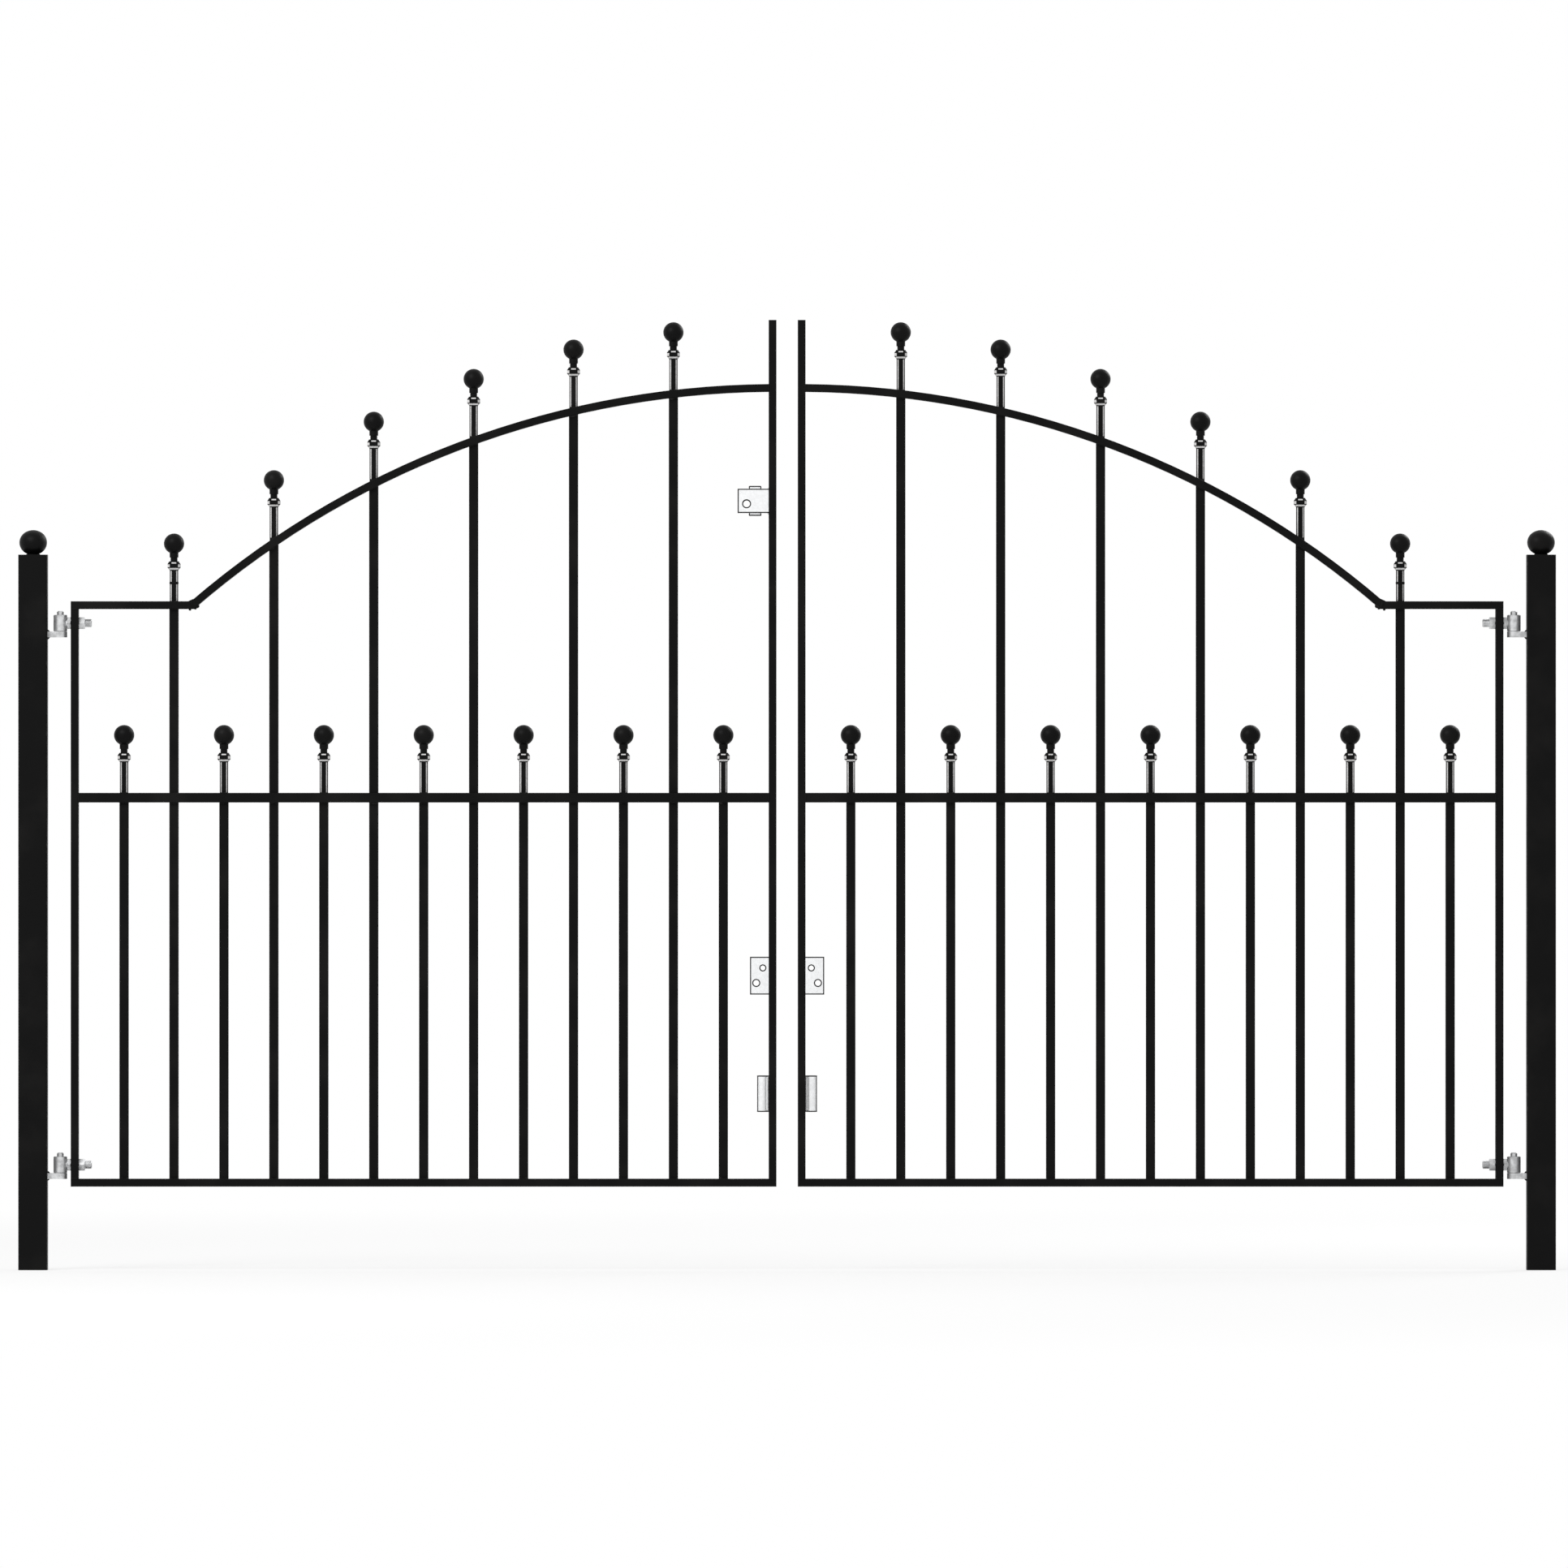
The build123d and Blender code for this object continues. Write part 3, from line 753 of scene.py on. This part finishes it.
weld_zinc = bare_zinc("weld_zinc", zinc_light, zinc_dark, metallic=0.1)
fitting_weld_leg = 0.0030
fitting_weld_inset = 0.0020
guide_seat_half = 0.0035
guide_weld_on_stile = 0.0055
guide_weld_on_tube = (-0.0043, 0.0057)
for side in ("left", "right"):
    fitting_welds = bmesh.new()
    plate_low, plate_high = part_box("left_latch_plate")
    plate_run = straight(
        (inner_end, plate_high.y, plate_low.z + fitting_weld_inset),
        (inner_end, plate_high.y, plate_high.z - fitting_weld_inset),
        (-fitting_weld_leg, 0, 0),
        (0, fitting_weld_leg, 0),
    )
    bead(fitting_welds, *plate_run, fillet_weld)
    guide_low, guide_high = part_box("left_drop_bolt_guide")
    for face in (-1, 1):
        guide_run = straight(
            (inner_end, face * guide_seat_half, guide_low.z + fitting_weld_inset),
            (inner_end, face * guide_seat_half, guide_high.z - fitting_weld_inset),
            (0, face * guide_weld_on_stile, 0),
            (guide_weld_on_tube[0], face * guide_weld_on_tube[1], 0),
        )
        bead(fitting_welds, *guide_run, fillet_weld)
    if side == "left":
        case_reach = case_box[1].y - fitting_weld_inset
        for height, up in ((case_box[0].z, -1), (case_box[1].z, 1)):
            case_run = straight(
                (inner_end, -case_reach, height),
                (inner_end, case_reach, height),
                (-fitting_weld_leg, 0, 0),
                (0, 0, up * fitting_weld_leg),
            )
            bead(fitting_welds, *case_run, fillet_weld)
    made_piece(
        f"{side}_fitting_welds", side, f"{side}_leaf", weld_zinc, fitting_welds
    )

# Hinges: forged eye bolts, nuts and gudgeon pins, zinc plated, duller than the fittings.
# Each pin's lug is welded to the post above and below, and the bolt's thread shows past the nut.
hinge_zinc = bare_zinc("hinge_zinc", grey(0.72, -0.01), grey(0.46, -0.01), metallic=0.6)
for side in ("left", "right"):
    wear(hinge_zinc, f"{side}_hinge_eye_bolts", f"{side}_hinge_nuts", f"{side}_hinge_pins")

post_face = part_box("left_post")[1].x
pins_low, pins_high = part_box("left_hinge_pins")
eyes_low, eyes_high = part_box("left_hinge_eye_bolts")
nuts_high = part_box("left_hinge_nuts")[1]
eye_height = 0.034
bolt_radius = 0.008
lug_thickness = 0.012
lug_weld_leg = 0.0040
thread_pitch = 0.0020
thread_height = 0.00045
thread_start_gap = 0.0006
bolt_end_chamfer = 0.0015
thread_section = [(-0.95, -0.5), (-0.25, 1.0), (0.25, 1.0), (0.95, -0.5)]
thread_length = eyes_high.x - bolt_end_chamfer - nuts_high.x - thread_start_gap
hinge_heights = (eyes_low.z + eye_height / 2, eyes_high.z - eye_height / 2)
lug_bottoms = (pins_low.z, pins_low.z + hinge_heights[1] - hinge_heights[0])

for side in ("left", "right"):
    lug_welds = bmesh.new()
    lug_reach = pins_high.y - fitting_weld_inset
    for lug_bottom in lug_bottoms:
        for height, up in ((lug_bottom, -1), (lug_bottom + lug_thickness, 1)):
            lug_run = straight(
                (post_face, -lug_reach, height),
                (post_face, lug_reach, height),
                (lug_weld_leg, 0, 0),
                (0, 0, up * lug_weld_leg),
            )
            bead(lug_welds, *lug_run, fillet_weld)
    made_piece(f"{side}_lug_welds", side, "posts", post_paint, lug_welds)

    threads = bmesh.new()
    turn_length = math.hypot(2 * math.pi * bolt_radius, thread_pitch)
    for height in hinge_heights:

        def round_bolt(s):
            turn = 2 * math.pi * s / turn_length
            radial = Vector((0, math.cos(turn), math.sin(turn)))
            x = nuts_high.x + thread_start_gap + thread_pitch * s / turn_length
            centre = Vector((x, 0, height)) + radial * bolt_radius
            return centre, Vector((thread_pitch / 2, 0, 0)), radial * thread_height

        bead(threads, round_bolt, turn_length * thread_length / thread_pitch, thread_section, ripple=0)
    made_piece(f"{side}_bolt_threads", side, f"{side}_leaf", hinge_zinc, threads)

# Floor: a plain white sheet that takes the gate's shadow and fades into a white background.
# Its white glow is only to be looked at, and throws no light on the gate.
floor_mesh = bpy.data.meshes.new("floor")
floor_reach = 14.0
floor_form = bmesh.new()
bmesh.ops.create_circle(floor_form, cap_ends=True, segments=96, radius=floor_reach)
floor_form.to_mesh(floor_mesh)
floor_form.free()
floor = bpy.data.objects.new("floor", floor_mesh)
floor.location = (gate_span / 2, 0, 0)
bpy.context.scene.collection.objects.link(floor)

floor_material, floor_shader, floor_place = new_material("floor_white")
feed(floor_shader, Base_Color=grey(0.90), Roughness=0.9, Specular_IOR_Level=0.1)
near_whiteness = 0.70
whitening_start = 2.5
whitening_end = 7.0


def looked_at(tree):
    """1 for the rays that make the picture and its reflections, 0 for those that only carry light."""
    rays = Shade(tree).node("LightPath").socket.node
    kinds = ("Is Camera Ray", "Is Glossy Ray", "Is Transmission Ray")
    camera_ray, glossy_ray, transmission_ray = (Shade(tree, rays.outputs[kind]) for kind in kinds)
    return camera_ray.math("MINIMUM", camera_ray + glossy_ray + transmission_ray, 1.0)


far = floor_place.node("VectorMath", {"operation": "LENGTH"}, {0: floor_place}, out=1)
whiteness = near_whiteness + (1 - near_whiteness) * far.fade(whitening_start, whitening_end)
whiteness = looked_at(floor_material.node_tree) * whiteness
glow = floor_place.node("Emission", {}, {"Color": grey(1.0), "Strength": 1.0})
lit = Shade(floor_material.node_tree, floor_shader.outputs[0])
mixed = floor_place.node("MixShader", {}, {0: whiteness, 1: lit, 2: glow})
floor_output = floor_material.node_tree.nodes["Material Output"]
floor_material.node_tree.links.new(mixed.socket, floor_output.inputs["Surface"])
floor_mesh.materials.append(floor_material)

# World: plain white to look at, and a softer light on the gate from all round.
# Two large soft lamps, one in front and one behind, model its shapes and cast its shadow.
world = bpy.data.worlds.new("studio_white")
world.use_nodes = True
bpy.context.scene.world = world
world_tree = world.node_tree
fill_strength = 0.64
world_background = world_tree.nodes["Background"]
strength = fill_strength + (1 - fill_strength) * looked_at(world_tree)
world_tree.links.new(strength.socket, world_background.inputs["Strength"])
world_background.inputs["Color"].default_value = grey(1.0)
gate_middle_height = 0.9


def studio_lamp(name, place, size, power):
    """A large soft lamp aimed at the middle of the gate."""
    lamp_data = bpy.data.lights.new(name, "AREA")
    lamp_data.size = size
    lamp_data.energy = power
    lamp = bpy.data.objects.new(name, lamp_data)
    bpy.context.scene.collection.objects.link(lamp)
    lamp.location = place
    middle = Vector((gate_span / 2, 0, gate_middle_height))
    lamp.rotation_euler = (middle - Vector(place)).to_track_quat("-Z", "Y").to_euler()


studio_lamp("key_lamp", place=(-2.5, -5.0, 5.5), size=2.5, power=260.0)
studio_lamp("back_lamp", place=(5.5, 4.5, 4.5), size=2.5, power=160.0)
